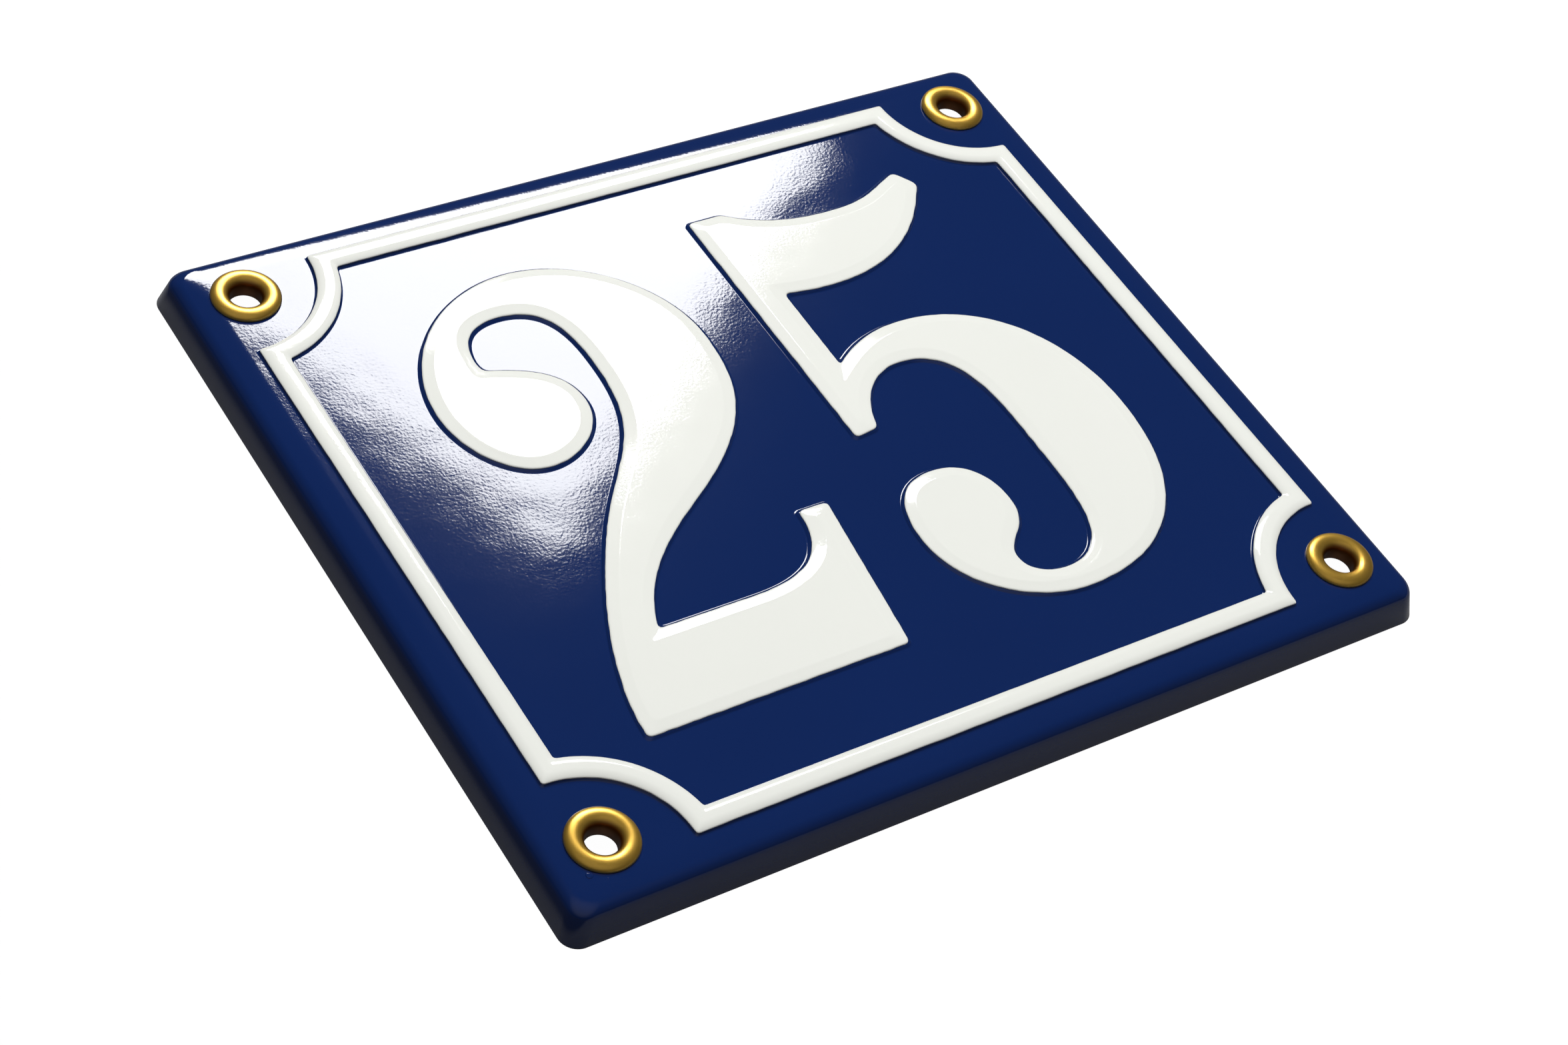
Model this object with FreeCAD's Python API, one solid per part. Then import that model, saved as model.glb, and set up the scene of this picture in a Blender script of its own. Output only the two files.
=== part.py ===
# House number plaque: a pressed steel plate, vitreous enamelled blue, with a raised white border and
# the number 25 raised and enamelled white, and a brass eyelet in each of its four fixing holes.
#
# Millimetres. The plaque lies face up on its turned-down rim: X runs along the number, Y runs up it
# and Z points out of the face. The origin is under the middle of the plate, level with the rim's foot.

import FreeCAD, Part

import math
import os

from FreeCAD import Vector

# Plate, with its rim turned down and rolled over
plate_width = 140.0
plate_height = 120.0
plate_depth = 6.0
plate_corner_radius = 2.8
sheet_thickness = 1.4
rim_lean = 11.0
rim_roll_radius = 2.7
rim_roll_steps = 3

# Shoulder, the strip round the flat field that falls gently towards the roll
shoulder_width = 5.5
shoulder_corner_radius = 5.0
shoulder_fall = 8.0

# Raised border line, set in from the plate's edges, with a hollow quarter circle at each corner
border_inset_x = 6.6
border_inset_y = 5.9
border_line_width = 3.2
border_corner_radius = 14.2
border_rise = 0.7
border_slope_run = 0.9

# Raised numerals, which stand between the border's top and bottom lines with these margins
numeral_top_margin = 9.6
numeral_foot_margin = 12.1
numeral_gap = 8.2
numeral_pair_centre = 0.55
numeral_rise = 0.6
numeral_slope_run = 1.6

# White enamel, fired in one coat over the raised forms and thinning to nothing at their feet
white_thickness = 0.2

# Brass eyelets in the fixing holes, which are set in from the plate's edges
hole_inset_x = 9.5
hole_inset_y = 9.9
eyelet_bore_radius = 2.2
eyelet_wall = 0.4
eyelet_flange_radius = 4.95
eyelet_crest_radius = 3.65
eyelet_crest_height = 1.0
eyelet_funnel_depth = 1.5
clinch_radius = 3.3
clinch_height = 0.7
eyelet_hole_clearance = 0.1

# Cuts run this far past what they cut
cutting_margin = 5.0

# Each numeral is one closed outline, clockwise: its starting point, then straight runs given by their
# end and curved runs given by two handles and their end. Only its proportions count, because it is
# scaled to the numerals' height. It stands on the line y = 0, with its left side at x = 0.
two_start = (22.6, 80.1)
two_runs = [
    [(33.7, 80.1), (44.2, 70.6), (44.2, 59.1)],
    [(44.2, 47.9), (40.1, 41.2), (27.5, 33.2)],
    [(19.6, 28.1), (13.1, 23.7), (10.3, 15.0)],
    [(25.3, 15.0)],
    [(33.9, 15.0), (38.8, 17.8), (38.8, 25.6)],
    [(43.6, 25.6)],
    [(40.7, 0.0)],
    [(0.0, 0.0)],
    [(-0.2, 9.2), (5.1, 21.2), (12.0, 31.8)],
    [(19.5, 43.2), (26.3, 45.2), (26.3, 59.6)],
    [(26.3, 64.9), (26.0, 72.8), (17.7, 72.8)],
    [(9.8, 72.8), (10.6, 66.0), (10.6, 64.4)],
    [(15.5, 62.8), (21.7, 61.0), (21.7, 54.4)],
    [(21.7, 49.4), (16.4, 45.2), (11.4, 45.2)],
    [(5.2, 45.2), (0.9, 52.4), (0.9, 58.7)],
    [(0.9, 70.2), (11.1, 80.1), (22.6, 80.1)],
]

five_start = (1.2, 80.1)
five_runs = [
    [(6.9, 80.1)],
    [(11.8, 76.4), (17.2, 75.3), (23.5, 75.3)],
    [(30.4, 75.3), (32.1, 77.0), (37.4, 79.2)],
    [(39.8, 75.8)],
    [(33.8, 66.5), (26.3, 61.7), (15.3, 61.7)],
    [(12.2, 61.7), (10.1, 62.1), (7.3, 62.5)],
    [(7.4, 47.3)],
    [(12.1, 50.9), (16.7, 51.7), (20.5, 51.7)],
    [(34.3, 51.7), (43.3, 40.4), (43.3, 26.2)],
    [(43.3, 9.4), (33.8, -1.2), (17.9, -1.2)],
    [(8.9, -1.2), (0.0, 5.5), (0.0, 14.8)],
    [(0.0, 21.4), (2.9, 25.0), (8.5, 25.0)],
    [(14.4, 25.0), (16.3, 20.3), (16.3, 16.5)],
    [(16.3, 10.5), (11.1, 10.6), (11.1, 6.9)],
    [(11.1, 4.1), (14.2, 2.9), (16.7, 2.9)],
    [(26.3, 2.9), (25.9, 14.2), (25.9, 23.3)],
    [(25.9, 31.1), (26.8, 44.6), (16.1, 44.6)],
    [(10.2, 44.6), (6.9, 39.7), (5.8, 34.8)],
    [(1.8, 34.4)],
    [(1.2, 80.1)],
]


# A closed wire through edges, whatever their order
def closed_wire(edges):
    return Part.Wire(Part.__sortEdges__(edges))


# A solid whose outline changes level by level with straight sides between, wires from bottom to top
def lofted(wires):
    return Part.makeLoft(wires, True, True)


# Plate outline, moved inwards by inset, with its own corner radius
def plate_outline(inset, radius, z):
    x = plate_width / 2 - inset
    y = plate_height / 2 - inset
    bend = radius * math.sin(math.radians(45))
    edges = []
    for side_x, side_y in ((1, 1), (1, -1), (-1, -1), (-1, 1)):
        centre = Vector(side_x * (x - radius), side_y * (y - radius), z)
        on_top = centre + Vector(0, side_y * radius, 0)
        on_side = centre + Vector(side_x * radius, 0, 0)
        middle = centre + Vector(side_x * bend, side_y * bend, 0)
        edges.append(Part.Arc(on_top, middle, on_side).toShape())
        if side_x * side_y > 0:
            edges.append(Part.makeLine(on_side, Vector(on_side.x, -on_side.y, z)))
        else:
            edges.append(Part.makeLine(on_top, Vector(-on_top.x, on_top.y, z)))
    return closed_wire(edges)


# Middle of the rim's roll, as its inset and height: it touches the leaning rim and the shoulder
def roll_centre():
    lean = math.radians(rim_lean)
    fall = math.radians(shoulder_fall)
    top_drop = rim_roll_radius / math.cos(fall)
    side_push = rim_roll_radius / math.cos(lean)
    level = plate_depth - shoulder_width * math.tan(fall) - top_drop
    z = (level + side_push * math.tan(fall)) / (1 - math.tan(lean) * math.tan(fall))
    return side_push + z * math.tan(lean), z


# The plate as a solid block: leaning rim, roll, shoulder and field. The hollow behind it has the same
# roll centre and lies one sheet further in, and it runs out through the rim's foot.
def plate_block(wall):
    lean = math.radians(rim_lean)
    fall = math.radians(shoulder_fall)
    middle_inset, middle_z = roll_centre()
    radius = rim_roll_radius - wall
    foot = -cutting_margin if wall else 0.0
    levels = [(wall / math.cos(lean) + foot * math.tan(lean), foot)]
    for step in range(rim_roll_steps + 1):
        turn = lean + (math.pi / 2 - fall - lean) * step / rim_roll_steps
        levels.append((middle_inset - radius * math.cos(turn), middle_z + radius * math.sin(turn)))
    wires = [plate_outline(inset, plate_corner_radius - wall, z) for inset, z in levels]
    wires.append(plate_outline(shoulder_width, shoulder_corner_radius, plate_depth - wall))
    return lofted(wires)


# The points of a numeral's outline, moved inwards by inset so that its legs move parallel
def inset_points(start, runs, inset):
    points = [Vector(start[0], start[1], 0)]
    for run in runs:
        for x, y in run:
            points.append(Vector(x, y, 0))
    points.pop()
    moved = []
    for i, point in enumerate(points):
        before = (point - points[i - 1]).normalize()
        after = (points[(i + 1) % len(points)] - point).normalize()
        inward_before = Vector(before.y, -before.x, 0)
        inward_after = Vector(after.y, -after.x, 0)
        share = inset / (1 + inward_before.dot(inward_after))
        moved.append(point + (inward_before + inward_after) * share)
    return moved


# The width of a numeral as drawn
def drawn_width(runs):
    return max(run[-1][0] for run in runs)


# A numeral's outline as a wire at height z
def numeral_outline(numeral, inset, z):
    start, runs, left = numeral
    points = inset_points(start, runs, inset / numeral_scale)
    points = [Vector(left + p.x * numeral_scale, baseline + p.y * numeral_scale, z) for p in points]
    points.append(points[0])
    edges = []
    first = 0
    for run in runs:
        curve = Part.BezierCurve()
        curve.setPoles(points[first : first + len(run) + 1])
        edges.append(curve.toShape())
        first += len(run)
    return Part.Wire(edges)


# The border line's outer edge, moved inwards by inset: its hollow corners are arcs about the corners
# of the border's rectangle
def border_outline(inset, z):
    half_x = plate_width / 2 - border_inset_x
    half_y = plate_height / 2 - border_inset_y
    hollow = border_corner_radius + inset
    reach = math.sqrt(hollow**2 - inset**2)
    depth = hollow * math.sin(math.radians(45))
    edges = []
    for side_x, side_y in ((1, 1), (1, -1), (-1, -1), (-1, 1)):
        corner = Vector(side_x * half_x, side_y * half_y, z)
        on_top = corner - Vector(side_x * reach, side_y * inset, 0)
        on_side = corner - Vector(side_x * inset, side_y * reach, 0)
        deepest = corner - Vector(side_x * depth, side_y * depth, 0)
        edges.append(Part.Arc(on_top, deepest, on_side).toShape())
        if side_x * side_y > 0:
            edges.append(Part.makeLine(on_side, Vector(on_side.x, -on_side.y, z)))
        else:
            edges.append(Part.makeLine(on_top, Vector(-on_top.x, on_top.y, z)))
    return closed_wire(edges)


# A raised form, from its foot on the level base to its flat crest. On the back the foot starts further
# in, so that the sheet keeps its thickness round the bend, and the crest stays under the front one.
def raised_numeral(numeral, base, foot_inset, rise):
    foot = numeral_outline(numeral, foot_inset, base)
    crest = numeral_outline(numeral, numeral_slope_run, base + rise)
    return lofted([foot, crest])


def raised_border(base, foot_inset, rise):
    outer_foot = border_outline(foot_inset, base)
    outer_crest = border_outline(border_slope_run, base + rise)
    inner_foot = border_outline(border_line_width - foot_inset, base)
    inner_crest = border_outline(border_line_width - border_slope_run, base + rise)
    return lofted([outer_foot, outer_crest]).cut(lofted([inner_foot, inner_crest]))


def bend_inset(rise, run):
    return sheet_thickness * math.tan(math.atan2(rise, run) / 2)


# Where the four eyelets are
def eyelet_places():
    x = plate_width / 2 - hole_inset_x
    y = plate_height / 2 - hole_inset_y
    return [Vector(-x, y, 0), Vector(x, y, 0), Vector(-x, -y, 0), Vector(x, -y, 0)]


# An eyelet turned about its bore: the bore widens as a funnel up to the crest of the front ring, which
# turns over and down to its flange, the barrel passes the sheet, and the back end is clinched outwards
def eyelet(place):
    outside = eyelet_bore_radius + eyelet_wall
    clinch_z = field_back - clinch_height
    crest_z = plate_depth + eyelet_crest_height
    half_way = math.radians(45)
    fall = (eyelet_flange_radius - eyelet_crest_radius) * math.sin(half_way)
    fall_z = plate_depth + eyelet_crest_height * math.cos(half_way)
    section = [
        (eyelet_bore_radius, clinch_z),
        (eyelet_bore_radius, crest_z - eyelet_funnel_depth),
        (eyelet_crest_radius, crest_z),
        (eyelet_crest_radius + fall, fall_z),
        (eyelet_flange_radius, plate_depth),
        (outside, plate_depth),
        (outside, field_back),
        (clinch_radius, field_back),
        (outside, clinch_z),
        (eyelet_bore_radius, clinch_z),
    ]
    outline = Part.makePolygon([Vector(radius, 0, z) for radius, z in section])
    ring = Part.Face(outline).revolve(Vector(0, 0, 0), Vector(0, 0, 1), 360)
    ring.translate(place)
    return ring


# Height of the numerals between the border's lines, and the scale that brings the drawing to it
border_inner_y = plate_height / 2 - border_inset_y - border_line_width
baseline = numeral_foot_margin - border_inner_y
numeral_height = 2 * border_inner_y - numeral_top_margin - numeral_foot_margin
numeral_scale = numeral_height / two_start[1]

# Numerals side by side
two_width = drawn_width(two_runs) * numeral_scale
five_width = drawn_width(five_runs) * numeral_scale
two_left = numeral_pair_centre - (two_width + numeral_gap + five_width) / 2
five_left = two_left + two_width + numeral_gap
two = (two_start, two_runs, two_left)
five = (five_start, five_runs, five_left)

field_back = plate_depth - sheet_thickness
numeral_bend = bend_inset(numeral_rise, numeral_slope_run)
border_bend = bend_inset(border_rise, border_slope_run)

# The raised forms as pressed, and as they are with their white enamel
pressed_two = raised_numeral(two, plate_depth, 0.0, numeral_rise)
pressed_five = raised_numeral(five, plate_depth, 0.0, numeral_rise)
pressed_border = raised_border(plate_depth, 0.0, border_rise)
coated_two = raised_numeral(two, plate_depth, 0.0, numeral_rise + white_thickness)
coated_five = raised_numeral(five, plate_depth, 0.0, numeral_rise + white_thickness)
coated_border = raised_border(plate_depth, 0.0, border_rise + white_thickness)

# The pressing: the block with its raised forms, less the hollow behind them all
front = plate_block(0.0).multiFuse([pressed_two, pressed_five, pressed_border])
hollow = plate_block(sheet_thickness).multiFuse(
    [
        raised_numeral(two, field_back, numeral_bend, numeral_rise),
        raised_numeral(five, field_back, numeral_bend, numeral_rise),
        raised_border(field_back, border_bend, border_rise),
    ]
)
plaque = front.cut(hollow)

# Fixing holes, each a little wider than the barrel of its eyelet
hole_radius = eyelet_bore_radius + eyelet_wall + eyelet_hole_clearance
for place in eyelet_places():
    drill_foot = place + Vector(0, 0, field_back - cutting_margin)
    plaque = plaque.cut(Part.makeCylinder(hole_radius, 2 * cutting_margin, drill_foot))

# The white coat, one layer on the border and on each numeral
border_coat = coated_border.cut(pressed_border)
two_coat = coated_two.cut(pressed_two)
five_coat = coated_five.cut(pressed_five)

nodes = {
    "plaque": plaque.removeSplitter(),
    "white_enamel": Part.makeCompound([border_coat, two_coat, five_coat]),
    "eyelets": Part.makeCompound([eyelet(place) for place in eyelet_places()]),
}

os.makedirs("parts", exist_ok=True)
for name, shape in nodes.items():
    shape.exportStep("parts/" + name + ".step")
    print(name, len(shape.Solids), "solid,", len(shape.Faces), "faces,", round(shape.Volume, 1), "mm3")
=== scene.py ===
# House number plaque: a pressed steel plate in deep blue and white vitreous enamel, with brass eyelets
import math

import bmesh
import bpy
from mathutils import Matrix, Vector, noise


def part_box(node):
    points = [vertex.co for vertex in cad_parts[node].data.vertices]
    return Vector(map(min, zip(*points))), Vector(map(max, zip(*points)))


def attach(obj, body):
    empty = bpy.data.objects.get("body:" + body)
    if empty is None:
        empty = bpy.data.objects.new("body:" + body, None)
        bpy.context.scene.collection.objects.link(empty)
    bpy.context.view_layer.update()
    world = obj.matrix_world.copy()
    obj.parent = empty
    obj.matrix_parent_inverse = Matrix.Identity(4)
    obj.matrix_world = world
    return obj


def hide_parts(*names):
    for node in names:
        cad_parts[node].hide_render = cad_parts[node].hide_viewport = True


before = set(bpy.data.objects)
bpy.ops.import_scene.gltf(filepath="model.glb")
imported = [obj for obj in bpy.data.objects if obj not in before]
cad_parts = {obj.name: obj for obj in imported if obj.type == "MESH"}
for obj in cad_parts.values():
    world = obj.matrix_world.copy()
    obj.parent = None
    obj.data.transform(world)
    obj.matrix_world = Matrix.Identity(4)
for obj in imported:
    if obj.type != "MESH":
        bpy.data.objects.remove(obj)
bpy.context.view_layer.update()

millimetre = 0.001  # shapes are drawn in millimetres and brought to metres as they are finished


# Sizes taken from the frame
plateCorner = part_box("plaque")[1] / millimetre
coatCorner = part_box("white_enamel")[1] / millimetre
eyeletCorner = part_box("eyelets")[1] / millimetre


# Curves and loops

def curvePoint(handles, t):
    while len(handles) > 1:
        handles = [a.lerp(b, t) for a, b in zip(handles, handles[1:])]
    return handles[0]


def insetHandles(handles, inset):
    # every leg of the closed chain moves inwards and stays parallel to itself
    moved = []
    for i, point in enumerate(handles):
        before = (point - handles[i - 1]).normalized()
        after = (handles[(i + 1) % len(handles)] - point).normalized()
        inwards = Vector((before.y, -before.x)) + Vector((after.y, -after.x))
        moved.append(point + inwards * inset / (1 + before.dot(after)))
    return moved


def bezierCurve(handles, spacing):
    legs = [(b - a).length for a, b in zip(handles, handles[1:])]
    degree = len(legs)
    return {
        "at": lambda t: curvePoint(handles, t),
        "speeds": (degree * legs[0], degree * legs[-1]),
        "steps": max(2, math.ceil(sum(legs) / spacing)),
    }


def onCircle(centre, radius, angle):
    return centre + radius * Vector((math.cos(angle), math.sin(angle)))


def arcCurve(centre, radius, startAngle, endAngle, spacing):
    sweep = endAngle - startAngle
    return {
        "at": lambda t: onCircle(centre, radius, startAngle + sweep * t),
        "speeds": (radius * abs(sweep), radius * abs(sweep)),
        "steps": max(2, math.ceil(radius * abs(sweep) / spacing)),
    }


def tipShare(tipRound, speed):
    # part of a curve that is given up to the rounding of its tip
    return min(0.35, tipRound / speed)


def roundedLoop(curves, tipRound, tipSteps=4):
    # joins curves end to end, and rounds the tips where two of them meet at an angle
    nudge = 0.001
    sharpTurn = math.radians(20)
    points = []
    sharp = []
    for curve, following in zip(curves, curves[1:] + curves[:1]):
        arriving = curve["at"](1.0) - curve["at"](1.0 - nudge)
        leaving = following["at"](nudge) - following["at"](0.0)
        sharp.append(arriving.angle(leaving) > sharpTurn)
    for i, curve in enumerate(curves):
        following = curves[(i + 1) % len(curves)]
        start = tipShare(tipRound, curve["speeds"][0]) if sharp[i - 1] else 0.0
        end = 1.0 - (tipShare(tipRound, curve["speeds"][1]) if sharp[i] else 0.0)
        for step in range(curve["steps"]):
            points.append(curve["at"](start + (end - start) * step / curve["steps"]))
        if sharp[i]:
            resumed = tipShare(tipRound, following["speeds"][0])
            corner = [curve["at"](end), curve["at"](1.0), following["at"](resumed)]
            points += [curvePoint(corner, step / tipSteps) for step in range(tipSteps)]
    return points


def addLoop(bm, points, z):
    verts = [bm.verts.new((point[0], point[1], z)) for point in points]
    return [bm.edges.new((verts[i - 1], verts[i])) for i in range(len(verts))]


def bridgeAll(bm, loops):
    # each pair is held well apart while it is joined, because loops at one level would be joined crosswise
    for lower, upper in zip(loops, loops[1:]):
        verts = list({vert for edge in upper for vert in edge.verts})
        bmesh.ops.translate(bm, verts=verts, vec=(0.0, 0.0, 40.0))
        bmesh.ops.bridge_loops(bm, edges=lower + upper)
        bmesh.ops.translate(bm, verts=verts, vec=(0.0, 0.0, -40.0))


def fillBetween(bm, *loops):
    edges = [edge for loop in loops for edge in loop]
    bmesh.ops.triangle_fill(bm, edges=edges, use_beauty=True)


def finishPiece(name, bm, materials, replaced):
    bmesh.ops.remove_doubles(bm, verts=bm.verts, dist=0.0005)
    bmesh.ops.recalc_face_normals(bm, faces=bm.faces)
    bmesh.ops.scale(bm, vec=(millimetre,) * 3, verts=bm.verts)
    mesh = bpy.data.meshes.new(name)
    bm.to_mesh(mesh)
    bm.free()
    mesh.shade_smooth()
    piece = bpy.data.objects.new(name, mesh)
    bpy.context.scene.collection.objects.link(piece)
    for material in materials:
        mesh.materials.append(material)
    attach(piece, "root")
    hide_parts(replaced)
    print(name, len(mesh.polygons), "faces")
    return piece


# Numerals, drawn clockwise from a start point
# a straight run is given by its end, and a curved one by two handles and its end

numerals = {
    "two": {
        "left": -47.3,
        "start": (22.6, 80.1),
        "runs": [
            [(33.7, 80.1), (44.2, 70.6), (44.2, 59.1)],
            [(44.2, 47.9), (40.1, 41.2), (27.5, 33.2)],
            [(19.6, 28.1), (13.1, 23.7), (10.3, 15.0)],
            [(25.3, 15.0)],
            [(33.9, 15.0), (38.8, 17.8), (38.8, 25.6)],
            [(43.6, 25.6)],
            [(40.7, 0.0)],
            [(0.0, 0.0)],
            [(-0.2, 9.2), (5.1, 21.2), (12.0, 31.8)],
            [(19.5, 43.2), (26.3, 45.2), (26.3, 59.6)],
            [(26.3, 64.9), (26.0, 72.8), (17.7, 72.8)],
            [(9.8, 72.8), (10.6, 66.0), (10.6, 64.4)],
            [(15.5, 62.8), (21.7, 61.0), (21.7, 54.4)],
            [(21.7, 49.4), (16.4, 45.2), (11.4, 45.2)],
            [(5.2, 45.2), (0.9, 52.4), (0.9, 58.7)],
            [(0.9, 70.2), (11.1, 80.1), (22.6, 80.1)],
        ],
    },
    "five": {
        "left": 5.1,
        "start": (1.2, 80.1),
        "runs": [
            [(6.9, 80.1)],
            [(11.8, 76.4), (17.2, 75.3), (23.5, 75.3)],
            [(30.4, 75.3), (32.1, 77.0), (37.4, 79.2)],
            [(39.8, 75.8)],
            [(33.8, 66.5), (26.3, 61.7), (15.3, 61.7)],
            [(12.2, 61.7), (10.1, 62.1), (7.3, 62.5)],
            [(7.4, 47.3)],
            [(12.1, 50.9), (16.7, 51.7), (20.5, 51.7)],
            [(34.3, 51.7), (43.3, 40.4), (43.3, 26.2)],
            [(43.3, 9.4), (33.8, -1.2), (17.9, -1.2)],
            [(8.9, -1.2), (0.0, 5.5), (0.0, 14.8)],
            [(0.0, 21.4), (2.9, 25.0), (8.5, 25.0)],
            [(14.4, 25.0), (16.3, 20.3), (16.3, 16.5)],
            [(16.3, 10.5), (11.1, 10.6), (11.1, 6.9)],
            [(11.1, 4.1), (14.2, 2.9), (16.7, 2.9)],
            [(26.3, 2.9), (25.9, 14.2), (25.9, 23.3)],
            [(25.9, 31.1), (26.8, 44.6), (16.1, 44.6)],
            [(10.2, 44.6), (6.9, 39.7), (5.8, 34.8)],
            [(1.8, 34.4)],
            [(1.2, 80.1)],
        ],
    },
    "baseline": -38.8,
    "rise": 0.6,  # pressed height above the field
    # pressed slope, as handles of inset and share of the rise: a steep foot, then a long gentle bank
    "slope": [(-0.42, 0.0), (-0.25, 0.0), (-0.2, 0.8), (0.1, 0.66), (0.9, 0.7), (1.6, 1.0), (1.85, 1.0)],
    "slopeSteps": 12,
    # the hollow behind, as levels of inset and share of the rise
    "hollow": [(0.0, 0.0), (0.1, 0.0), (0.35, 0.05), (0.7, 0.25), (1.2, 0.75), (1.5, 0.95), (1.75, 1.0)],
    "tipRound": 0.9,
    "spacing": 0.7,  # length of a mesh edge along the outline
}

border = {
    "lineWidth": 3.2,
    "hollowRadius": 14.2,
    "rise": 0.7,
    "slope": [(-0.25, 0.0), (-0.12, 0.0), (-0.05, 0.75), (0.35, 0.68), (0.65, 1.0), (1.2, 1.0)],
    "slopeSteps": 10,
    "hollow": [(0.0, 0.0), (0.1, 0.0), (0.3, 0.08), (0.75, 0.92), (1.0, 1.0)],
    "tipRound": 0.5,
    "spacing": 0.9,
    "sideSteps": 60,
}


def numeralLoop(name, inset):
    numeral = numerals[name]
    place = Vector((numeral["left"], numerals["baseline"]))
    handles = [Vector(numeral["start"])] + [Vector(point) for run in numeral["runs"] for point in run]
    handles.pop()
    plain = handles + handles[:1]
    moved = insetHandles(handles, inset)
    moved.append(moved[0])
    curves = []
    first = 0
    for run in numeral["runs"]:
        last = first + len(run)
        curve = bezierCurve([place + point for point in moved[first:last + 1]], numerals["spacing"])
        curve["steps"] = bezierCurve(plain[first:last + 1], numerals["spacing"])["steps"]
        curves.append(curve)
        first = last
    return roundedLoop(curves, numerals["tipRound"])


def borderLoop(inset):
    halfX = coatCorner.x
    halfY = coatCorner.y
    radius = border["hollowRadius"] + inset
    lean = math.asin(inset / radius)
    curves = []
    for quarter, (sideX, sideY) in enumerate(((1, 1), (-1, 1), (-1, -1), (1, -1))):
        corner = Vector((sideX * halfX, sideY * halfY))
        turned = math.pi / 2 * quarter
        startAngle = turned + 1.5 * math.pi - lean
        endAngle = turned + math.pi + lean
        arc = arcCurve(corner, radius, startAngle, endAngle, border["spacing"])
        arc["steps"] = math.ceil(border["hollowRadius"] * math.pi / 2 / border["spacing"])
        curves.append(arc)
        start = arc["at"](1.0)
        end = Vector((-start.x, start.y)) if quarter % 2 == 0 else Vector((start.x, -start.y))
        side = bezierCurve([start, end], border["spacing"])
        side["steps"] = border["sideSteps"]
        curves.append(side)
    return roundedLoop(curves, border["tipRound"])


def pressProfile(form, t):
    # inset and height of the pressed slope, and its upward normal, from its soft foot to its crest
    handles = [Vector((inset, share * form["rise"])) for inset, share in form["slope"]]
    point = curvePoint(handles, t)
    slope = curvePoint([b - a for a, b in zip(handles, handles[1:])], t).normalized()
    return point, Vector((-slope.y, slope.x))


eyelet = {
    "boreRadius": 2.2,
    "barrelRadius": 2.6,
    "funnelDepth": 1.5,
    "flangeRadius": 4.95,
    "crestRadius": 3.65,
    "crestHeight": 1.0,
    "clinchRadius": 3.3,
    "clinchRoll": [(-0.1, 0.0), (0.0, 0.12), (-0.05, 0.3), (-0.35, 0.55)],  # past its radius, and depth
    "clinchDepth": 0.68,
    "tailRoll": [(0.12, 0.6), (0.0, 0.35)],  # past the bore, and depth
    "funnelRound": 0.55,  # lengths of the handles that round the ring from its bore to its edge
    "crestRound": 0.85,
    "skirtRound": 0.62,
    "edgeHeight": 0.12,
    "edgeRound": 0.08,
    "ringSteps": 10,
    "turnSteps": 96,
}
eyeletCentre = Vector((eyeletCorner.x - eyelet["flangeRadius"], eyeletCorner.y - eyelet["flangeRadius"]))


# Materials

glass = {
    "ior": 1.58,
    "peelSize": 0.42,  # grain of the fired surface, in millimetres
    "waveSize": 9.0,
    "cloudSize": 25.0,  # patches where the colour lies a little thicker
    "unit": 0.001,  # height that the peel and wave of a finish are counted in
}
blueGlass = {
    "colour": (0.0018, 0.0160, 0.096, 1.0),
    "shade": 0.90,
    "roughness": 0.06,
    "peel": 4.6,
    "wave": 34.0,
    "speckColour": (0.22, 0.28, 0.42, 1.0),
}
whiteGlass = {
    "colour": (0.82, 0.83, 0.78, 1.0),
    "shade": 0.97,
    "roughness": 0.07,
    "peel": 5.5,
    "wave": 60.0,
    "speckColour": (0.50, 0.48, 0.44, 1.0),
}
groundGlass = {
    "colour": (0.012, 0.016, 0.030, 1.0),
    "shade": 0.6,
    "roughness": 0.28,
    "peel": 9.0,
    "wave": 20.0,
    "speckColour": (0.05, 0.06, 0.08, 1.0),
}
brassFinish = {
    "colour": (0.93, 0.56, 0.08, 1.0),
    "shade": 0.82,
    "metallic": 0.9,
    "roughness": (0.30, 0.42),
    "lacquer": 0.7,
    "lacquerRoughness": 0.25,
    "scuffSize": 1.2,
    "scuffDepth": 0.004,
    # painted shade: the brass colour darkens towards each eyelet's axis, down its bore
    "boreShadeColour": (0.22, 0.07, 0.004, 1.0),
    "boreRadius": 2.3,  # painted shade in the bore is full within this radius
    "ringRadius": 3.0,  # and bright beyond this one
}


def shaderGroup(name, inputs, outputs):
    group = bpy.data.node_groups.new(name, "ShaderNodeTree")
    for label, value in inputs.items():
        socket = group.interface.new_socket(label, in_out="INPUT", socket_type="NodeSocketFloat")
        socket.default_value = value
    for label in outputs:
        group.interface.new_socket(label, in_out="OUTPUT", socket_type="NodeSocketFloat")
    return group, group.nodes.new("NodeGroupInput"), group.nodes.new("NodeGroupOutput")


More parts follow.
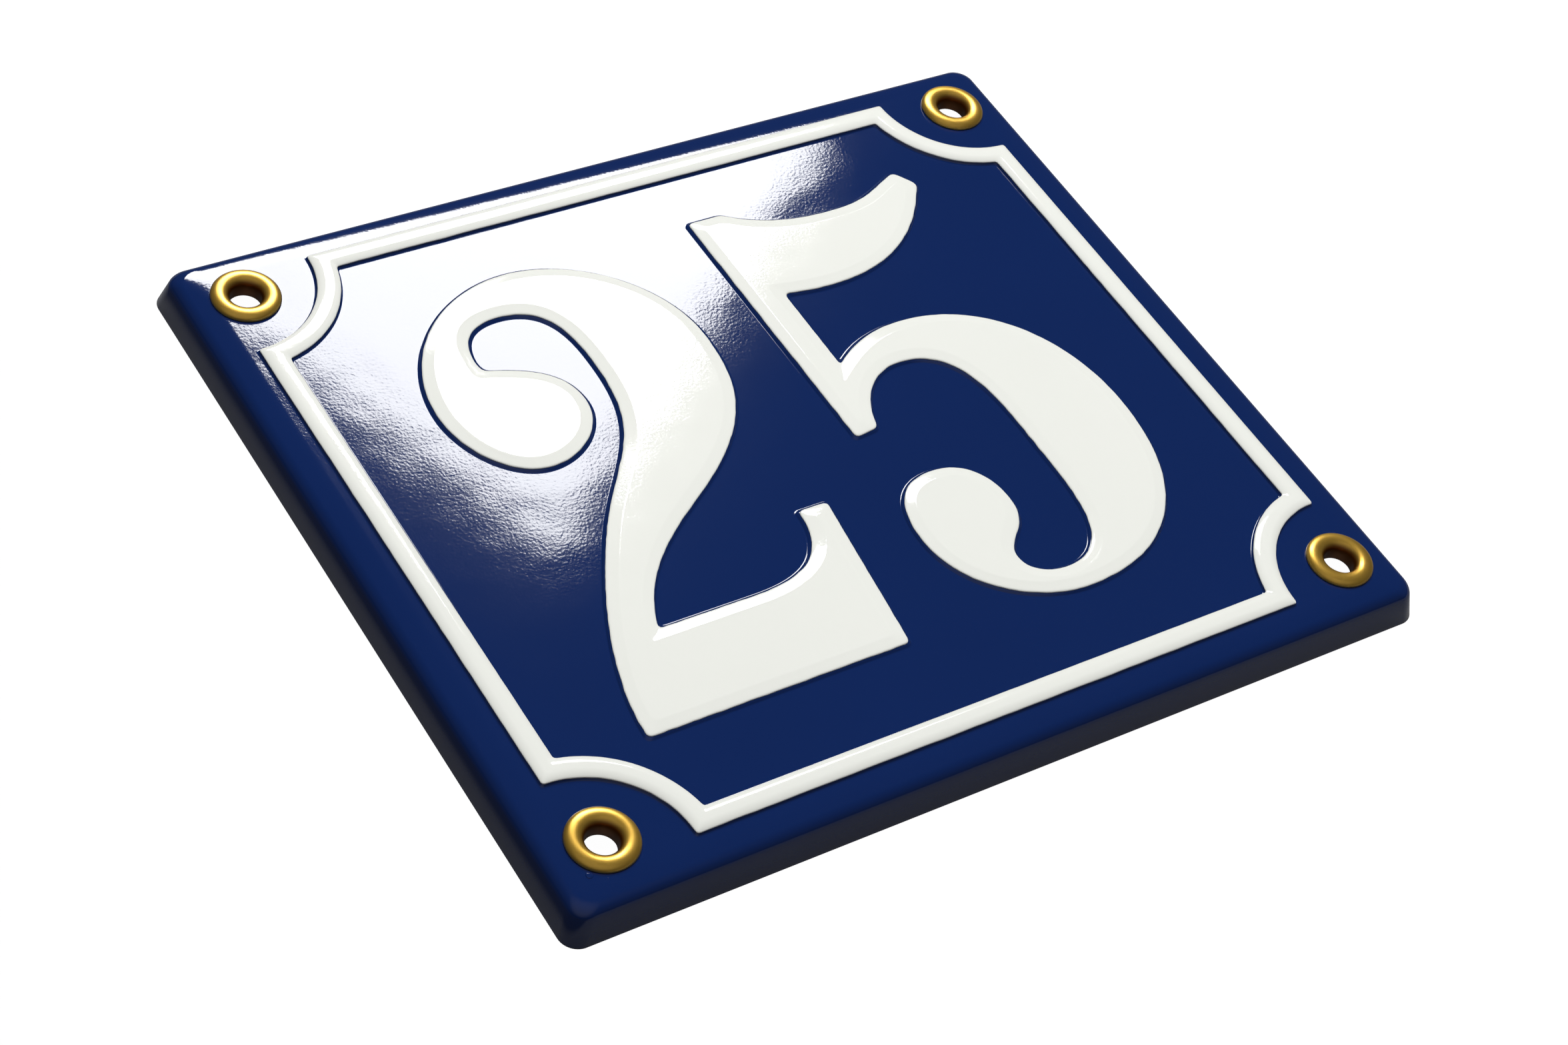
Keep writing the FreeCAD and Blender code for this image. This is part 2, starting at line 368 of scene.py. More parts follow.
def makeFiredSurface():
    # height of the fired glass: fine orange peel on long shallow waves
    group, given, result = shaderGroup("firedSurface", {"peel": 1.0, "wave": 1.0}, ["height"])
    nodes, links = group.nodes, group.links
    place = nodes.new("ShaderNodeTexCoord")
    peel = nodes.new("ShaderNodeTexNoise")
    peel.inputs["Scale"].default_value = 1 / (glass["peelSize"] * millimetre)
    peel.inputs["Detail"].default_value = 1.5
    wave = nodes.new("ShaderNodeTexNoise")
    wave.inputs["Scale"].default_value = 1 / (glass["waveSize"] * millimetre)
    wave.inputs["Detail"].default_value = 1.0
    peelPart = nodes.new("ShaderNodeMath")
    peelPart.operation = "MULTIPLY"
    wavePart = nodes.new("ShaderNodeMath")
    wavePart.operation = "MULTIPLY"
    total = nodes.new("ShaderNodeMath")
    total.operation = "ADD"
    for texture in (peel, wave):
        links.new(place.outputs["Object"], texture.inputs["Vector"])
    links.new(peel.outputs["Fac"], peelPart.inputs[0])
    links.new(given.outputs["peel"], peelPart.inputs[1])
    links.new(wave.outputs["Fac"], wavePart.inputs[0])
    links.new(given.outputs["wave"], wavePart.inputs[1])
    links.new(peelPart.outputs[0], total.inputs[0])
    links.new(wavePart.outputs[0], total.inputs[1])
    links.new(total.outputs[0], result.inputs["height"])
    return group


def makeSpecks():
    # mask of a few tiny specks of dust, each in its own cell
    group, given, result = shaderGroup("dustSpecks", {"cell": 4.0, "share": 0.13, "size": 0.03}, ["mask"])
    nodes, links = group.nodes, group.links
    place = nodes.new("ShaderNodeTexCoord")
    cells = nodes.new("ShaderNodeTexVoronoi")
    density = nodes.new("ShaderNodeMath")
    density.operation = "DIVIDE"
    density.inputs[0].default_value = 1 / millimetre
    links.new(given.outputs["cell"], density.inputs[1])
    links.new(density.outputs[0], cells.inputs["Scale"])
    links.new(place.outputs["Object"], cells.inputs["Vector"])
    near = nodes.new("ShaderNodeMath")
    near.operation = "LESS_THAN"
    links.new(cells.outputs["Distance"], near.inputs[0])
    links.new(given.outputs["size"], near.inputs[1])
    chosen = nodes.new("ShaderNodeMath")
    chosen.operation = "LESS_THAN"
    links.new(cells.outputs["Color"], chosen.inputs[0])
    links.new(given.outputs["share"], chosen.inputs[1])
    both = nodes.new("ShaderNodeMath")
    both.operation = "MULTIPLY"
    links.new(near.outputs[0], both.inputs[0])
    links.new(chosen.outputs[0], both.inputs[1])
    links.new(both.outputs[0], result.inputs["mask"])
    return group


def makeBoreDistance():
    # distance from the axis of the nearest eyelet
    centres = {"centreX": eyeletCentre.x * millimetre, "centreY": eyeletCentre.y * millimetre}
    group, given, result = shaderGroup("boreDistance", centres, ["radius"])
    nodes, links = group.nodes, group.links
    place = nodes.new("ShaderNodeTexCoord")
    parts = nodes.new("ShaderNodeSeparateXYZ")
    links.new(place.outputs["Object"], parts.inputs["Vector"])
    squares = []
    for axis, centre in (("X", "centreX"), ("Y", "centreY")):
        folded = nodes.new("ShaderNodeMath")
        folded.operation = "ABSOLUTE"
        links.new(parts.outputs[axis], folded.inputs[0])
        away = nodes.new("ShaderNodeMath")
        away.operation = "SUBTRACT"
        links.new(folded.outputs[0], away.inputs[0])
        links.new(given.outputs[centre], away.inputs[1])
        square = nodes.new("ShaderNodeMath")
        square.operation = "MULTIPLY"
        links.new(away.outputs[0], square.inputs[0])
        links.new(away.outputs[0], square.inputs[1])
        squares.append(square)
    total = nodes.new("ShaderNodeMath")
    total.operation = "ADD"
    links.new(squares[0].outputs[0], total.inputs[0])
    links.new(squares[1].outputs[0], total.inputs[1])
    root = nodes.new("ShaderNodeMath")
    root.operation = "SQRT"
    links.new(total.outputs[0], root.inputs[0])
    links.new(root.outputs[0], result.inputs["radius"])
    return group


firedSurface = makeFiredSurface()
dustSpecks = makeSpecks()
boreDistance = makeBoreDistance()


def startMaterial(name, roughness, metallic=0.0):
    material = bpy.data.materials.new(name)
    material.use_nodes = True
    shader = material.node_tree.nodes["Principled BSDF"]
    shader.inputs["Roughness"].default_value = roughness
    shader.inputs["Metallic"].default_value = metallic
    return material, material.node_tree.nodes, material.node_tree.links, shader


def enamel(name, finish):
    material, nodes, links, shader = startMaterial(name, finish["roughness"])
    shader.inputs["IOR"].default_value = glass["ior"]
    place = nodes.new("ShaderNodeTexCoord")
    cloud = nodes.new("ShaderNodeTexNoise")
    cloud.inputs["Scale"].default_value = 1 / (glass["cloudSize"] * millimetre)
    cloud.inputs["Detail"].default_value = 3.0
    links.new(place.outputs["Object"], cloud.inputs["Vector"])
    tint = nodes.new("ShaderNodeMix")
    tint.data_type = "RGBA"
    tint.inputs["A"].default_value = finish["colour"]
    tint.inputs["B"].default_value = [channel * finish["shade"] for channel in finish["colour"][:3]] + [1.0]
    links.new(cloud.outputs["Fac"], tint.inputs["Factor"])
    specks = nodes.new("ShaderNodeGroup")
    specks.node_tree = dustSpecks
    dusted = nodes.new("ShaderNodeMix")
    dusted.data_type = "RGBA"
    dusted.inputs["B"].default_value = finish["speckColour"]
    links.new(specks.outputs["mask"], dusted.inputs["Factor"])
    links.new(tint.outputs["Result"], dusted.inputs["A"])
    links.new(dusted.outputs["Result"], shader.inputs["Base Color"])
    surface = nodes.new("ShaderNodeGroup")
    surface.node_tree = firedSurface
    surface.inputs["peel"].default_value = finish["peel"]
    surface.inputs["wave"].default_value = finish["wave"]
    bump = nodes.new("ShaderNodeBump")
    bump.inputs["Distance"].default_value = glass["unit"] * millimetre
    links.new(surface.outputs["height"], bump.inputs["Height"])
    links.new(bump.outputs["Normal"], shader.inputs["Normal"])
    return material


def brass(name, finish):
    # satin brass under a thin lacquer, its bore darkened brown by painted shade
    smooth, dull = finish["roughness"]
    material, nodes, links, shader = startMaterial(name, (smooth + dull) / 2, finish["metallic"])
    shader.inputs["Coat Weight"].default_value = finish["lacquer"]
    shader.inputs["Coat Roughness"].default_value = finish["lacquerRoughness"]
    place = nodes.new("ShaderNodeTexCoord")
    scuffs = nodes.new("ShaderNodeTexNoise")
    scuffs.inputs["Scale"].default_value = 1 / (finish["scuffSize"] * millimetre)
    scuffs.inputs["Detail"].default_value = 4.0
    links.new(place.outputs["Object"], scuffs.inputs["Vector"])
    tint = nodes.new("ShaderNodeMix")
    tint.data_type = "RGBA"
    tint.inputs["A"].default_value = finish["colour"]
    tint.inputs["B"].default_value = [channel * finish["shade"] for channel in finish["colour"][:3]] + [1.0]
    links.new(scuffs.outputs["Fac"], tint.inputs["Factor"])
    bore = nodes.new("ShaderNodeGroup")
    bore.node_tree = boreDistance
    kept = nodes.new("ShaderNodeMapRange")
    kept.interpolation_type = "SMOOTHSTEP"
    kept.inputs["From Min"].default_value = finish["boreRadius"] * millimetre
    kept.inputs["From Max"].default_value = finish["ringRadius"] * millimetre
    links.new(bore.outputs["radius"], kept.inputs["Value"])
    # painted shade: mixes the brass towards dark brown within the bore
    boreShaded = nodes.new("ShaderNodeMix")
    boreShaded.data_type = "RGBA"
    boreShaded.inputs["A"].default_value = finish["boreShadeColour"]
    links.new(kept.outputs["Result"], boreShaded.inputs["Factor"])
    links.new(tint.outputs["Result"], boreShaded.inputs["B"])
    links.new(boreShaded.outputs["Result"], shader.inputs["Base Color"])
    rough = nodes.new("ShaderNodeMapRange")
    rough.inputs["To Min"].default_value = smooth
    rough.inputs["To Max"].default_value = dull
    links.new(scuffs.outputs["Fac"], rough.inputs["Value"])
    links.new(rough.outputs["Result"], shader.inputs["Roughness"])
    bump = nodes.new("ShaderNodeBump")
    bump.inputs["Distance"].default_value = finish["scuffDepth"] * millimetre
    links.new(scuffs.outputs["Fac"], bump.inputs["Height"])
    links.new(bump.outputs["Normal"], shader.inputs["Normal"])
    return material


blueEnamel = enamel("blueEnamel", blueGlass)
whiteEnamel = enamel("whiteEnamel", whiteGlass)
groundEnamel = enamel("groundEnamel", groundGlass)
eyeletBrass = brass("eyeletBrass", brassFinish)
print("materials made")


# Plate: rim, field, raised forms and hollow back in one skin

plate = {
    "fieldTop": 6.0,
    "sheet": 1.4,
    "lean": math.radians(14),
    "cornerRadius": 2.8,
    "rollRadius": 2.0,
    "rollSteps": 12,
    "shoulderWidth": 5.2,
    "shoulderCorner": 5.0,
    "shoulderFall": math.radians(10),  # where the shoulder meets the roll
    "shoulderLine": math.radians(6),  # of the straight line from the field to the roll
    "shoulderSteps": 6,
    "cornerSteps": 14,
    "holeRadius": 2.7,
    "holeSteps": 48,
    "guard": 0.15,  # width of the flat strip that keeps a slope's shading off the field
    "holeGuard": 1.2,
    "holeChamfer": 0.1,
    "rimFoot": (0.06, 0.25),  # inset and height where the outer face meets its rounded foot
    "outerFoot": [(0.12, 0.08), (0.3, 0.0)],
    "innerFoot": [(-0.25, 0.0), (-0.05, 0.1), (0.05, 0.4)],
    "pimples": [(-64.5, -53.9, 5.98, 0.5), (-66.4, -53.4, 5.78, 0.28), (-62.6, -55.2, 5.94, 0.22)],
}


def plateLoop(inset, radius):
    points = []
    for quarter, (sideX, sideY) in enumerate(((1, 1), (-1, 1), (-1, -1), (1, -1))):
        x = sideX * (plateCorner.x - inset - radius)
        y = sideY * (plateCorner.y - inset - radius)
        for step in range(plate["cornerSteps"] + 1):
            angle = math.pi / 2 * (quarter + step / plate["cornerSteps"])
            points.append((x + radius * math.cos(angle), y + radius * math.sin(angle)))
    return points


def rimLevels(wall):
    # inset, corner radius and height of each level, from the rim's foot over the roll to the field
    lean, fall = plate["lean"], plate["shoulderFall"]
    top = plate["fieldTop"]
    rollRadius = plate["rollRadius"]
    grade = math.tan(plate["shoulderLine"])
    level = top - plate["shoulderWidth"] * grade - rollRadius / math.cos(plate["shoulderLine"])
    push = rollRadius / math.cos(lean)
    centreZ = (level + push * grade) / (1 - math.tan(lean) * grade)
    centreInset = push + centreZ * math.tan(lean)
    radius = rollRadius - wall
    levels = []
    for step in range(plate["rollSteps"] + 1):
        turn = lean + (math.pi / 2 - fall - lean) * step / plate["rollSteps"]
        levels.append((centreInset - radius * math.cos(turn), centreZ + radius * math.sin(turn)))
    rollEnd = Vector(levels[-1])
    cornerRadius = plate["cornerRadius"] - wall
    flatZ = top - wall
    bend = Vector((rollEnd.x + (flatZ - rollEnd.y) / math.tan(fall), flatZ))
    end = Vector((plate["shoulderWidth"], flatZ))
    shoulder = []
    for step in range(1, plate["shoulderSteps"] + 1):
        t = step / plate["shoulderSteps"]
        point = curvePoint([rollEnd, bend, end], t)
        shoulder.append((point.x, cornerRadius + (plate["shoulderCorner"] - cornerRadius) * t, point.y))
    shoulder.append((end.x + plate["guard"], plate["shoulderCorner"], flatZ))
    return [(inset, cornerRadius, z) for inset, z in levels] + shoulder


def circle(centre, radius):
    steps = plate["holeSteps"]
    return [onCircle(centre, radius, math.tau * i / steps) for i in range(steps)]


def buildPlate():
    bm = bmesh.new()
    top = plate["fieldTop"]
    back = top - plate["sheet"]
    guard = plate["guard"]
    hole = plate["holeRadius"]
    guardRadius = hole + plate["holeGuard"]
    sides = [(sideX, sideY) for sideX in (-1, 1) for sideY in (-1, 1)]
    centres = [Vector((sideX * eyeletCentre.x, sideY * eyeletCentre.y)) for sideX, sideY in sides]

    # front skin
    outer = rimLevels(0.0)
    inner = rimLevels(plate["sheet"])
    footInset, footZ = plate["rimFoot"]
    outer.insert(0, (footInset, plate["cornerRadius"], footZ))
    frontRim = [addLoop(bm, plateLoop(inset, radius), z) for inset, radius, z in outer]
    bridgeAll(bm, frontRim)
    innerWidth = border["lineWidth"]
    slopes = {}
    for side, sign, start in (("outer", 1, 0.0), ("inner", -1, innerWidth)):
        loops = [addLoop(bm, borderLoop(start + sign * (border["slope"][0][0] - guard)), top)]
        for step in range(border["slopeSteps"] + 1):
            point, normal = pressProfile(border, step / border["slopeSteps"])
            loops.append(addLoop(bm, borderLoop(start + sign * point.x), top + point.y))
        bridgeAll(bm, loops)
        slopes[side] = loops
    bridgeAll(bm, [slopes["outer"][-1], slopes["inner"][-1]])
    numeralFeet = []
    for name in ("two", "five"):
        loops = [addLoop(bm, numeralLoop(name, numerals["slope"][0][0] - guard), top)]
        for step in range(numerals["slopeSteps"] + 1):
            point, normal = pressProfile(numerals, step / numerals["slopeSteps"])
            loops.append(addLoop(bm, numeralLoop(name, point.x), top + point.y))
        bridgeAll(bm, loops)
        fillBetween(bm, loops[-1])
        numeralFeet.append(loops[0])
    frontHoles = [addLoop(bm, circle(centre, hole + plate["holeChamfer"]), top) for centre in centres]
    holeGuards = [addLoop(bm, circle(centre, guardRadius), top) for centre in centres]
    for pair in zip(frontHoles, holeGuards):
        bridgeAll(bm, pair)
    fillBetween(bm, frontRim[-1], slopes["outer"][0], *holeGuards)
    fillBetween(bm, slopes["inner"][0], *numeralFeet)
    frontFaces = set(bm.faces)

    # foot of the rim, rounded by the enamel
    innerFoot = plate["sheet"] / math.cos(plate["lean"])
    footRim = [frontRim[0]]
    footLevels = plate["outerFoot"] + [(innerFoot + inset, z) for inset, z in plate["innerFoot"]]
    for inset, z in footLevels:
        footRim.append(addLoop(bm, plateLoop(inset, plate["cornerRadius"] - inset), z))
    bridgeAll(bm, footRim)

    # back skin
    backRim = [footRim[-1]] + [addLoop(bm, plateLoop(inset, radius), z) for inset, radius, z in inner]
    bridgeAll(bm, backRim)
    grooves = {}
    for side, sign, start in (("outer", 1, 0.0), ("inner", -1, innerWidth)):
        loops = []
        for inset, share in border["hollow"]:
            loops.append(addLoop(bm, borderLoop(start + sign * inset), back + border["rise"] * share))
        bridgeAll(bm, loops)
        grooves[side] = loops
    bridgeAll(bm, [grooves["outer"][-1], grooves["inner"][-1]])
    recessFeet = []
    for name in ("two", "five"):
        loops = []
        for inset, share in numerals["hollow"]:
            loops.append(addLoop(bm, numeralLoop(name, inset), back + numerals["rise"] * share))
        bridgeAll(bm, loops)
        fillBetween(bm, loops[-1])
        recessFeet.append(loops[0])
    backHoles = [addLoop(bm, circle(centre, hole), back) for centre in centres]
    backGuards = [addLoop(bm, circle(centre, guardRadius), back) for centre in centres]
    for pair in zip(backHoles, backGuards):
        bridgeAll(bm, pair)
    fillBetween(bm, backRim[-1], grooves["outer"][0], *backGuards)
    fillBetween(bm, grooves["inner"][0], *recessFeet)
    for centre, front, rear in zip(centres, frontHoles, backHoles):
        lip = addLoop(bm, circle(centre, hole), top - plate["holeChamfer"])
        bridgeAll(bm, [front, lip, rear])
    for face in bm.faces:
        face.material_index = 0 if face in frontFaces else 1
    openEdges = sum(not edge.is_manifold for edge in bm.edges)
    print("plate open edges", openEdges)
    return finishPiece("enamelled_plate", bm, [blueEnamel, groundEnamel], "plaque")


def buildPimples():
    # small beads in the fired blue, beside the lower left eyelet
    bm = bmesh.new()
    for x, y, z, radius in plate["pimples"]:
        place = Matrix.Translation((x, y, z)) @ Matrix.Diagonal((1.0, 1.0, 0.2, 1.0))
        bmesh.ops.create_uvsphere(bm, u_segments=24, v_segments=12, radius=radius, matrix=place)
    return finishPiece("fired_pimples", bm, [blueEnamel], "plaque")


buildPlate()
buildPimples()


# White coat: one skin over each raised form, with a beaded edge

coat = {
    "thickness": 0.2,
    "beadShare": 0.12,
    "levels": 14,
    "ragged": 0.09,  # how far its stencilled edge strays
    "raggedSize": 1.3,
    "raggedLevels": 4,
    "crowding": 1.3,  # draws its levels together at the bead
    "crestInset": 0.1,
}


def coatLevels(form):
    # the white begins where the pressed slope crosses the drawn outline
    start = next(step / 100 for step in range(100) if pressProfile(form, step / 100)[0].x > 0)
    upper, lower = [], []
    for step in range(coat["levels"] + 1):
        t = start + (1 - start) * (step / coat["levels"]) ** coat["crowding"]
        point, normal = pressProfile(form, t)
        grown = min(1.0, (t - start) / coat["beadShare"])
        cover = coat["thickness"] * math.sqrt(1 - (1 - grown) ** 2)
        top = point + normal * cover
        upper.append((top.x, top.y))
        if step % 2 == 0:
            lower.append((point.x, point.y))
    return upper, lower


def strayed(points, share):
    moved = []
    for point in points:
        spot = Vector((point[0], point[1], 0.0)) / coat["raggedSize"]
        stray = noise.noise_vector(spot) * coat["ragged"] * share
        moved.append((point[0] + stray.x, point[1] + stray.y))
    return moved


def coatSkin(bm, outline, levels, base):
    loops = []
    for step, (inset, z) in enumerate(levels):
        share = max(0.0, 1 - step / coat["raggedLevels"])
        loops.append(addLoop(bm, strayed(outline(inset), share), base + z))
    return loops


def buildNumeralCoat(name):
    bm = bmesh.new()
    base = plate["fieldTop"]
    upper, lower = coatLevels(numerals)
    skins = [coatSkin(bm, lambda inset: numeralLoop(name, inset), upper, base)]
    skins.append([addLoop(bm, numeralLoop(name, inset), base + z) for inset, z in lower[1:]])
    crest = addLoop(bm, numeralLoop(name, upper[-1][0] + coat["crestInset"]), base + upper[-1][1])
    bridgeAll(bm, skins[0] + [crest])
    bridgeAll(bm, [skins[0][0]] + skins[1])
    fillBetween(bm, crest)
    fillBetween(bm, skins[1][-1])
    print(name, "open edges", sum(not edge.is_manifold for edge in bm.edges))
    return finishPiece("numeral_" + name + "_enamel", bm, [whiteEnamel], "white_enamel")


def buildBorderCoat():
    bm = bmesh.new()
    base = plate["fieldTop"]
    upper, lower = coatLevels(border)
    width = border["lineWidth"]
    tops, bottoms = [], []
    for sign, start in ((1, 0.0), (-1, width)):
        top = coatSkin(bm, lambda inset: borderLoop(start + sign * inset), upper, base)
        bottom = [addLoop(bm, borderLoop(start + sign * inset), base + z) for inset, z in lower[1:]]
        bridgeAll(bm, top)
        bridgeAll(bm, [top[0]] + bottom)
        tops.append(top[-1])
        bottoms.append(bottom[-1])
    bridgeAll(bm, tops)
    bridgeAll(bm, bottoms)
    print("border open edges", sum(not edge.is_manifold for edge in bm.edges))
    return finishPiece("border_enamel", bm, [whiteEnamel], "white_enamel")


buildNumeralCoat("two")
buildNumeralCoat("five")
buildBorderCoat()
print("enamel made")


# Eyelets, turned about their bores

def buildEyelet(name, x, y):
    bm = bmesh.new()
    top = plate["fieldTop"]
    back = top - plate["sheet"]
    bore, crest, flange = eyelet["boreRadius"], eyelet["crestRadius"], eyelet["flangeRadius"]
    crestZ = top + eyelet["crestHeight"]
    funnelZ = crestZ - eyelet["funnelDepth"]
    barrel, clinch, steps = eyelet["barrelRadius"], eyelet["clinchRadius"], eyelet["ringSteps"]
    rounding = eyelet["crestRound"]
    edgeZ = top + eyelet["edgeHeight"]
    funnelRoundZ = crestZ - eyelet["funnelRound"]
    skirtRoundZ = top + eyelet["skirtRound"]
    inner = [(bore, funnelZ), (bore, funnelRoundZ), (crest - rounding, crestZ), (crest, crestZ)]
    outer = [(crest, crestZ), (crest + rounding, crestZ), (flange, skirtRoundZ), (flange, edgeZ)]
    inner = [Vector(point) for point in inner]
    outer = [Vector(point) for point in outer]
    section = [curvePoint(inner, step / steps) for step in range(steps)]
    section += [curvePoint(outer, step / steps) for step in range(steps + 1)]
    section += [Vector((flange - eyelet["edgeRound"], top)), Vector((barrel, top)), Vector((barrel, back))]
    # clinched edge, rolled outwards against the back
    section += [Vector((clinch + past, back - depth)) for past, depth in eyelet["clinchRoll"]]
    section.append(Vector((barrel, back - eyelet["clinchDepth"])))
    section += [Vector((bore + past, back - depth)) for past, depth in eyelet["tailRoll"]]
    verts = [bm.verts.new((point.x, 0.0, point.y)) for point in section]
    edges = [bm.edges.new((verts[i - 1], verts[i])) for i in range(len(verts))]
    bmesh.ops.spin(
        bm, geom=verts + edges, cent=(0, 0, 0), axis=(0, 0, 1), dvec=(0, 0, 0), angle=math.tau,
        steps=eyelet["turnSteps"], use_merge=True, use_duplicate=False,
    )
    bmesh.ops.translate(bm, verts=bm.verts, vec=(x, y, 0.0))
    print(name, "open edges", sum(not edge.is_manifold for edge in bm.edges))
    return finishPiece(name, bm, [eyeletBrass], "eyelets")


for rowName, sideY in (("top", 1), ("bottom", -1)):
    for columnName, sideX in (("left", -1), ("right", 1)):
        buildEyelet("eyelet_" + rowName + "_" + columnName, sideX * eyeletCentre.x, sideY * eyeletCentre.y)
print("eyelets made")


# Floor, world, lamps and camera

studio = {
    "floorSize": 8.0,
    "backdropHeight": 0.7,
    "paperShade": 0.17,
    "paperDark": 0.02,  # in the shade beyond the left side
    "shadeStart": 0.5,  # where that shade starts and is full, in millimetres from the foot
    "shadeFull": 4.0,
    "paperLift": 0.985,  # brings the paper to white where it is seen
    "mirroredLift": 0.04,  # and to pale grey where metal and enamel mirror it
    "dimLevel": 0.07,
    "softLevel": 0.27,
    "softAzimuth": 225.0,
    "softElevation": 58.0,
    "softEdge": (0.62, 0.95),
    "keyRadiance": 15.5,
    "keyAzimuth": 58.0,  # from +X towards +Y
    "keyElevation": 38.0,
    "keyDistance": 0.9,
    "keyCorner": (0.044, 0.184),  # right and up in the plane that faces the plate
    "keyTurn": 205.0,
    "keySize": (0.40, 0.205),
    "mainRadiance": 4.45,
    "mainAzimuth": 58.0,
    "mainElevation": 68.0,
    "mainDistance": 0.9,
    "mainSize": (0.9, 0.9),
    "cameraPlace": (-0.21922, -0.22516, 0.31826),
    "cameraTurn": (42.2312, -11.6741, -32.0082),
    "lens": 72.909,
}


def direction(azimuth, elevation):
    azimuth, elevation = math.radians(azimuth), math.radians(elevation)
    level = math.cos(elevation)
    return Vector((level * math.cos(azimuth), level * math.sin(azimuth), math.sin(elevation)))


def makePaper():
    # floor with a round backdrop far behind it
    bm = bmesh.new()
    radius = studio["floorSize"] / 2
    bmesh.ops.create_circle(bm, cap_ends=True, segments=96, radius=radius)
    rim = [edge for edge in bm.edges if edge.is_boundary]
    raised = bmesh.ops.extrude_edge_only(bm, edges=rim)["geom"]
    verts = [part for part in raised if isinstance(part, bmesh.types.BMVert)]
    bmesh.ops.translate(bm, verts=verts, vec=(0.0, 0.0, studio["backdropHeight"]))
    mesh = bpy.data.meshes.new("paper")
    bm.to_mesh(mesh)
    bm.free()
    paper = bpy.data.objects.new("paper", mesh)
    bpy.context.scene.collection.objects.link(paper)
    material, nodes, links, shader = startMaterial("studioPaper", 0.9)
    place = nodes.new("ShaderNodeTexCoord")
    parts = nodes.new("ShaderNodeSeparateXYZ")
    shade = nodes.new("ShaderNodeMapRange")
    shade.interpolation_type = "SMOOTHSTEP"
    shade.inputs["From Min"].default_value = -(plateCorner.x + studio["shadeFull"]) * millimetre
    shade.inputs["From Max"].default_value = -(plateCorner.x + studio["shadeStart"]) * millimetre
    shade.inputs["To Min"].default_value = studio["paperDark"]
    shade.inputs["To Max"].default_value = studio["paperShade"]
    links.new(place.outputs["Object"], parts.inputs["Vector"])
    links.new(parts.outputs["X"], shade.inputs["Value"])
    links.new(shade.outputs["Result"], shader.inputs["Base Color"])
    shader.inputs["Specular IOR Level"].default_value = 0.0
    shader.inputs["Emission Color"].default_value = (1.0, 1.0, 1.0, 1.0)
    paths = nodes.new("ShaderNodeLightPath")
    mirrored = nodes.new("ShaderNodeMath")
    mirrored.operation = "MAXIMUM"
    links.new(paths.outputs["Is Glossy Ray"], mirrored.inputs[0])
    links.new(paths.outputs["Is Transmission Ray"], mirrored.inputs[1])
    mirroredPart = nodes.new("ShaderNodeMath")
    mirroredPart.operation = "MULTIPLY"
    mirroredPart.inputs[1].default_value = studio["mirroredLift"]
    links.new(mirrored.outputs[0], mirroredPart.inputs[0])
    lift = nodes.new("ShaderNodeMath")
    lift.operation = "MULTIPLY_ADD"
    lift.inputs[1].default_value = studio["paperLift"]
    links.new(paths.outputs["Is Camera Ray"], lift.inputs[0])
    links.new(mirroredPart.outputs[0], lift.inputs[2])
    links.new(lift.outputs[0], shader.inputs["Emission Strength"])
    mesh.materials.append(material)


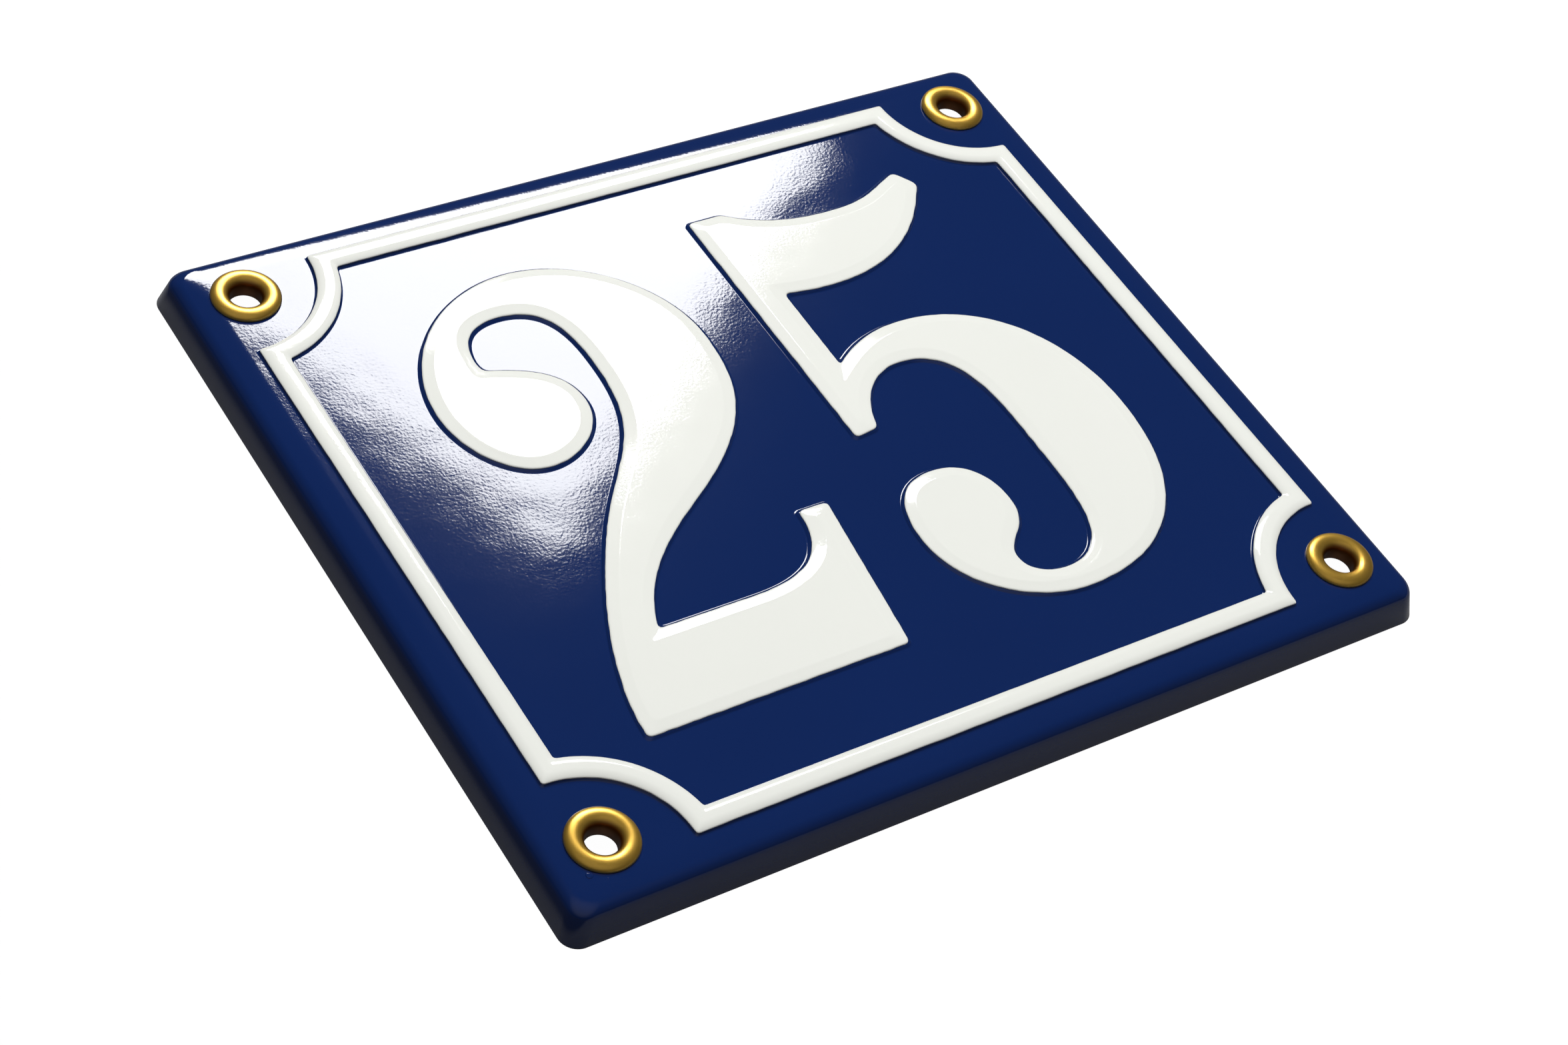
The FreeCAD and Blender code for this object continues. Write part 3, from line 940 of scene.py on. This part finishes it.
def makeWorld():
    # dim room with one broad soft side, behind the camera and above it
    world = bpy.data.worlds.new("studio")
    bpy.context.scene.world = world
    world.use_nodes = True
    nodes, links = world.node_tree.nodes, world.node_tree.links
    background = nodes["Background"]
    background.inputs["Color"].default_value = (1.0, 1.0, 1.0, 1.0)
    place = nodes.new("ShaderNodeTexCoord")
    facing = nodes.new("ShaderNodeVectorMath")
    facing.operation = "DOT_PRODUCT"
    facing.inputs[1].default_value = direction(studio["softAzimuth"], studio["softElevation"])
    soft = nodes.new("ShaderNodeMapRange")
    soft.interpolation_type = "SMOOTHSTEP"
    soft.inputs["From Min"].default_value = studio["softEdge"][0]
    soft.inputs["From Max"].default_value = studio["softEdge"][1]
    soft.inputs["To Min"].default_value = studio["dimLevel"]
    soft.inputs["To Max"].default_value = studio["softLevel"]
    links.new(place.outputs["Generated"], facing.inputs[0])
    links.new(facing.outputs["Value"], soft.inputs["Value"])
    links.new(soft.outputs["Result"], background.inputs["Strength"])


def makeSoftbox(name, centre, right, facing, size, radiance):
    lamp = bpy.data.lights.new(name, "AREA")
    lamp.shape = "RECTANGLE"
    lamp.size, lamp.size_y = size
    lamp.energy = radiance * math.pi * size[0] * size[1]
    softbox = bpy.data.objects.new(name, lamp)
    bpy.context.scene.collection.objects.link(softbox)
    upright = facing.cross(right)
    turned = Matrix((right, upright, facing)).transposed().to_4x4()
    softbox.matrix_world = Matrix.Translation(centre) @ turned
    return softbox


def makeLamps():
    # the softbox that the enamel mirrors, and the broad panel overhead that lights it
    away = direction(studio["keyAzimuth"], studio["keyElevation"])
    across = away.cross(Vector((0.0, 0.0, 1.0))).normalized()
    up = across.cross(away)
    turn = math.radians(studio["keyTurn"])
    along = across * math.cos(turn) + up * math.sin(turn)
    down = along.cross(away)
    corner = away * studio["keyDistance"] + across * studio["keyCorner"][0] + up * studio["keyCorner"][1]
    length, width = studio["keySize"]
    centre = corner + along * length / 2 + down * width / 2
    key = makeSoftbox("keySoftbox", centre, along, away, studio["keySize"], studio["keyRadiance"])
    key.visible_diffuse = False
    away = direction(studio["mainAzimuth"], studio["mainElevation"])
    across = away.cross(Vector((0.0, 0.0, 1.0))).normalized()
    centre = away * studio["mainDistance"]
    main = makeSoftbox("mainPanel", centre, across, away, studio["mainSize"], studio["mainRadiance"])
    main.visible_glossy = False


def makeCamera():
    lens = bpy.data.cameras.new("camera")
    lens.sensor_width = 36.0
    lens.lens = studio["lens"]
    lens.clip_start = 0.01
    camera = bpy.data.objects.new("camera", lens)
    camera.location = studio["cameraPlace"]
    camera.rotation_euler = [math.radians(angle) for angle in studio["cameraTurn"]]
    bpy.context.scene.collection.objects.link(camera)
    bpy.context.scene.camera = camera


makePaper()
makeWorld()
makeLamps()
makeCamera()
bpy.context.scene.view_settings.view_transform = "Standard"
print("studio made")
